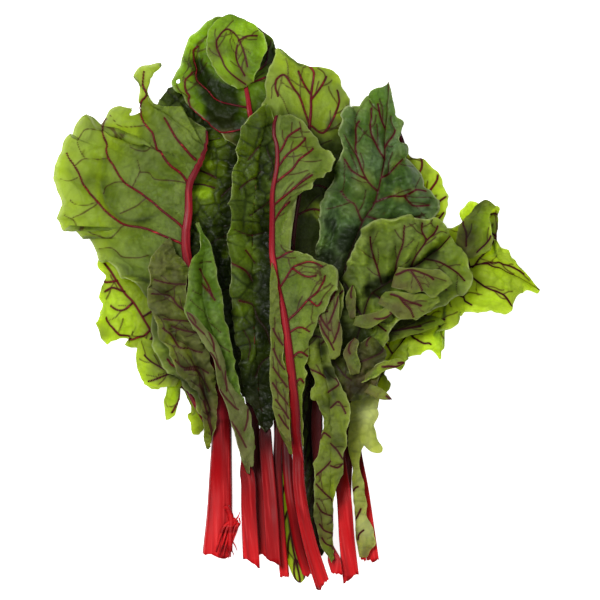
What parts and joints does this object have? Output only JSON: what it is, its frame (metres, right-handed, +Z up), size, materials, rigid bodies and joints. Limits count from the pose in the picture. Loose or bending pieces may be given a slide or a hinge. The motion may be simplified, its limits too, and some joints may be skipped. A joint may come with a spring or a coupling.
{
  "type": "swiss chard bunch",
  "caption": "Loose bunch of red-stemmed Swiss chard lying flat: broad puckered green leaves with red ribs, piled over each other, and crimson stalks cut at the base.",
  "frame": {"origin": "middle of the bunch's bounding box in plan, on the surface it lies on", "axes": "+Z up from the surface it lies on, +Y towards the leaf tips, the cut stalk ends at -Y, +X to the right seen from above"},
  "size_m": [0.3522, 0.4152, 0.0501],
  "materials": {
    "leaf_green": "satin",
    "stalk_red": "satin"
  },
  "bodies": {
    "root": {"base_strip_blade": "leaf_green", "inner_strip_blade": "leaf_green", "low_left_blade": "leaf_green", "low_left_stalk": "stalk_red", "far_right_blade": "leaf_green", "far_right_stalk": "stalk_red", "back_right_blade": "leaf_green", "back_right_stalk": "stalk_red", "low_right_blade": "leaf_green", "low_right_stalk": "stalk_red", "back_left_blade": "leaf_green", "back_left_stalk": "stalk_red", "top_left_blade": "leaf_green", "top_left_stalk": "stalk_red", "top_centre_blade": "leaf_green", "top_centre_stalk": "stalk_red", "centre_dark_blade": "leaf_green", "centre_dark_stalk": "stalk_red", "upper_right_blade": "leaf_green", "upper_right_stalk": "stalk_red", "broad_left_blade": "leaf_green", "broad_left_stalk": "stalk_red", "front_right_blade": "leaf_green", "front_right_stalk": "stalk_red", "narrow_left_blade": "leaf_green", "narrow_left_stalk": "stalk_red", "narrow_right_blade": "leaf_green", "narrow_right_stalk": "stalk_red", "front_centre_blade": "leaf_green", "front_centre_stalk": "stalk_red"}
  },
  "joints": []
}
